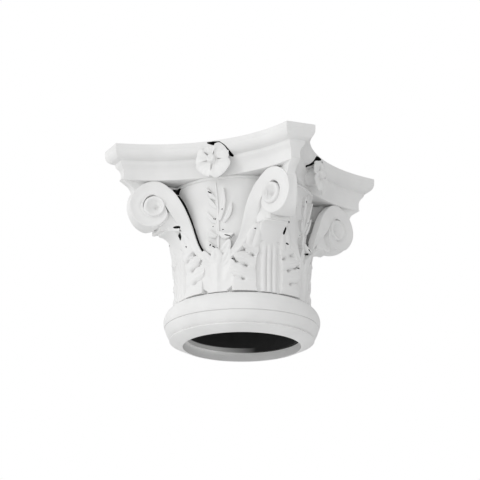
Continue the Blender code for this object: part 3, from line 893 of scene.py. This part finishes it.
def painted_shade_inside():
    """The rough near-black coat inside the hollow and in the deep cuts of the moulding: painted shade,
    standing in for the dark in them.
    """
    material = bpy.data.materials.new("painted_shade_inside")
    material.use_nodes = True
    tree = material.node_tree
    shader = tree.nodes["Principled BSDF"]
    shader.inputs["Roughness"].default_value = 0.9
    place = node(tree, "ShaderNodeTexCoord")
    patches = node(tree, "ShaderNodeTexNoise", Scale=40.0, Detail=6.0, Roughness=0.6)
    tones = node(tree, "ShaderNodeValToRGB")
    tones.color_ramp.elements[0].color = (0.006, 0.006, 0.006, 1)
    tones.color_ramp.elements[1].color = (0.022, 0.022, 0.022, 1)
    rough = node(tree, "ShaderNodeBump", Strength=0.5, Distance=0.002)
    tree.links.new(place.outputs["Object"], patches.inputs["Vector"])
    tree.links.new(patches.outputs["Fac"], tones.inputs["Fac"])
    # A pale band low in the passage, on the left side only: painted light, for the side of the mouth that
    # the lamps reach.
    where = node(tree, "ShaderNodeSeparateXYZ")
    depth = node(tree, "ShaderNodeMapRange")
    depth.inputs["From Min"].default_value = 0.0255
    depth.inputs["From Max"].default_value = 0.0235
    side = node(tree, "ShaderNodeMapRange")
    side.inputs["From Min"].default_value = -0.012
    side.inputs["From Max"].default_value = -0.085
    painted_light_share = node(tree, "ShaderNodeMath", operation="MULTIPLY")
    mix = node(tree, "ShaderNodeMixRGB")
    mix.inputs["Color2"].default_value = (0.74, 0.74, 0.73, 1)
    tree.links.new(place.outputs["Object"], where.inputs["Vector"])
    tree.links.new(where.outputs["Z"], depth.inputs["Value"])
    tree.links.new(where.outputs["X"], side.inputs["Value"])
    tree.links.new(depth.outputs["Result"], painted_light_share.inputs[0])
    tree.links.new(side.outputs["Result"], painted_light_share.inputs[1])
    tree.links.new(painted_light_share.outputs["Value"], mix.inputs["Fac"])
    tree.links.new(tones.outputs["Color"], mix.inputs["Color1"])
    tree.links.new(mix.outputs["Color"], shader.inputs["Base Color"])
    tree.links.new(patches.outputs["Fac"], rough.inputs["Height"])
    tree.links.new(rough.outputs["Normal"], shader.inputs["Normal"])
    return material


bore = [(0.0, -cut_beyond), (socket_radius, -cut_beyond)]
bore += [(socket_radius, socket_depth), (passage_radius, socket_depth)]
bore += [(passage_radius, passage_start), (passage_radius, passage_end)]
bore += [(chamber_radius, abacus_bottom - chamber_wall), (chamber_radius, capital_height - chamber_wall)]
bore += [(passage_radius, capital_height - chamber_wall), (passage_radius, capital_height + cut_beyond)]
bore += [(0.0, capital_height + cut_beyond)]
# The hollow's walls above the socket get the near-black coat: painted shade for the dark inside.
hollow = painted_shade_cut(solid("hollow", spun(bore, 96)), painted_shade_above)
# The second material is the near-black painted shade for the inside and the deep cuts.
paint, painted_shade_coat = white_paint(), painted_shade_inside()
# The slots behind the petals get the near-black coat: painted shade for the dark in them.
slots = at_sides([painted_shade_cut(slot(1, long_slot)), painted_shade_cut(slot(1, short_slot))], (0, 2))
slots += at_sides([painted_shade_cut(slot(-1, long_slot)), painted_shade_cut(slot(-1, short_slot))], (1, 3))
# The gaps behind the stalks and the drilled eyes get the near-black coat: painted shade for their dark.
gaps = [painted_shade_cut(solid("undercut", undercut(side))) for side in (1, -1)]
gaps += [painted_shade_cut(drilled(*eye)) for eye in drilled_eyes]
fuse(casting, [abacus] + at_sides(carved), "UNION")
fuse(casting, slots + at_sides(gaps), "DIFFERENCE")
fuse(casting, at_sides(flower), "UNION")
fuse(casting, [hollow], "DIFFERENCE")
casting.data.validate()
casting.data.shade_smooth()
casting.data.set_sharp_from_angle(angle=radians(38))
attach(casting, "root")
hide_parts("capital")

# The studio
# The capital hangs in a pale room, as it sits on its column above the eye: the camera looks up at
# it from in front and to the right, and soft light comes from the left, the front and below.
floor_level, floor_size = -1.55, 14
bm = bmesh.new()
bmesh.ops.create_grid(bm, x_segments=1, y_segments=1, size=floor_size)
bmesh.ops.translate(bm, vec=(0, 0, floor_level), verts=bm.verts)
floor_mesh = bpy.data.meshes.new("floor")
bm.to_mesh(floor_mesh)
bm.free()
floor = bpy.data.objects.new("floor", floor_mesh)
bpy.context.scene.collection.objects.link(floor)
pale = bpy.data.materials.new("pale_floor")
pale.use_nodes = True
pale.node_tree.nodes["Principled BSDF"].inputs["Base Color"].default_value = (0.9, 0.9, 0.9, 1)
pale.node_tree.nodes["Principled BSDF"].inputs["Roughness"].default_value = 0.8
floor_mesh.materials.append(pale)

camera_azimuth = 0.3725
camera_distance = 4.5121
camera_height = -1.1604
camera_yaw = -0.3733
camera_pitch = 0.2956
photo_size, focal_pixels, sensor_width = 480, 2438.37, 36.0
lens = bpy.data.cameras.new("camera")
lens.sensor_width = sensor_width
lens.lens = focal_pixels / photo_size * sensor_width
camera = bpy.data.objects.new("camera", lens)
bpy.context.scene.collection.objects.link(camera)
camera_side, camera_front = camera_distance * sin(camera_azimuth), camera_distance * cos(camera_azimuth)
camera.location = (camera_side, -camera_front, camera_height)
level_ahead = cos(camera_pitch)
ahead = Vector((sin(camera_yaw) * level_ahead, cos(camera_yaw) * level_ahead, sin(camera_pitch)))
camera.rotation_euler = ahead.to_track_quat("-Z", "Y").to_euler()
bpy.context.scene.camera = camera
lit_point = Vector((0, 0, 0.2))


def soft_light(name, place, size, power):
    """A square lamp that looks at the middle of the capital."""
    lamp = bpy.data.lights.new(name, "AREA")
    lamp.size = size
    lamp.energy = power
    light = bpy.data.objects.new(name, lamp)
    bpy.context.scene.collection.objects.link(light)
    light.location = place
    light.rotation_euler = (lit_point - Vector(place)).to_track_quat("-Z", "Y").to_euler()


soft_light("key", (-2.4, -3.4, 1.6), 1.2, 15)
soft_light("low fill", (-0.6, -2.8, -1.35), 1.6, 12)
world = bpy.data.worlds.new("pale_room")
bpy.context.scene.world = world
world.use_nodes = True
tree = world.node_tree
room = tree.nodes["Background"]
room_light = 0.785
# The room is palest to the left and in front, and the backdrop itself is plain white.
way = tree.nodes.new("ShaderNodeTexCoord")
lean = node(tree, "ShaderNodeVectorMath", operation="DOT_PRODUCT")
lean.inputs[1].default_value = (-0.17, -0.26, -0.05)
level = node(tree, "ShaderNodeMath", operation="ADD")
level.inputs[1].default_value = room_light
backdrop = node(tree, "ShaderNodeBackground", Strength=1.0)
seen = tree.nodes.new("ShaderNodeLightPath")
choose = tree.nodes.new("ShaderNodeMixShader")
tree.links.new(way.outputs["Generated"], lean.inputs[0])
tree.links.new(lean.outputs["Value"], level.inputs[0])
tree.links.new(level.outputs["Value"], room.inputs["Strength"])
tree.links.new(seen.outputs["Is Camera Ray"], choose.inputs["Fac"])
tree.links.new(room.outputs["Background"], choose.inputs[1])
tree.links.new(backdrop.outputs["Background"], choose.inputs[2])
tree.links.new(choose.outputs["Shader"], tree.nodes["World Output"].inputs["Surface"])
room.inputs["Color"].default_value = (1, 1, 1, 1)
backdrop.inputs["Color"].default_value = (1, 1, 1, 1)
bpy.context.scene.view_settings.view_transform = "Standard"
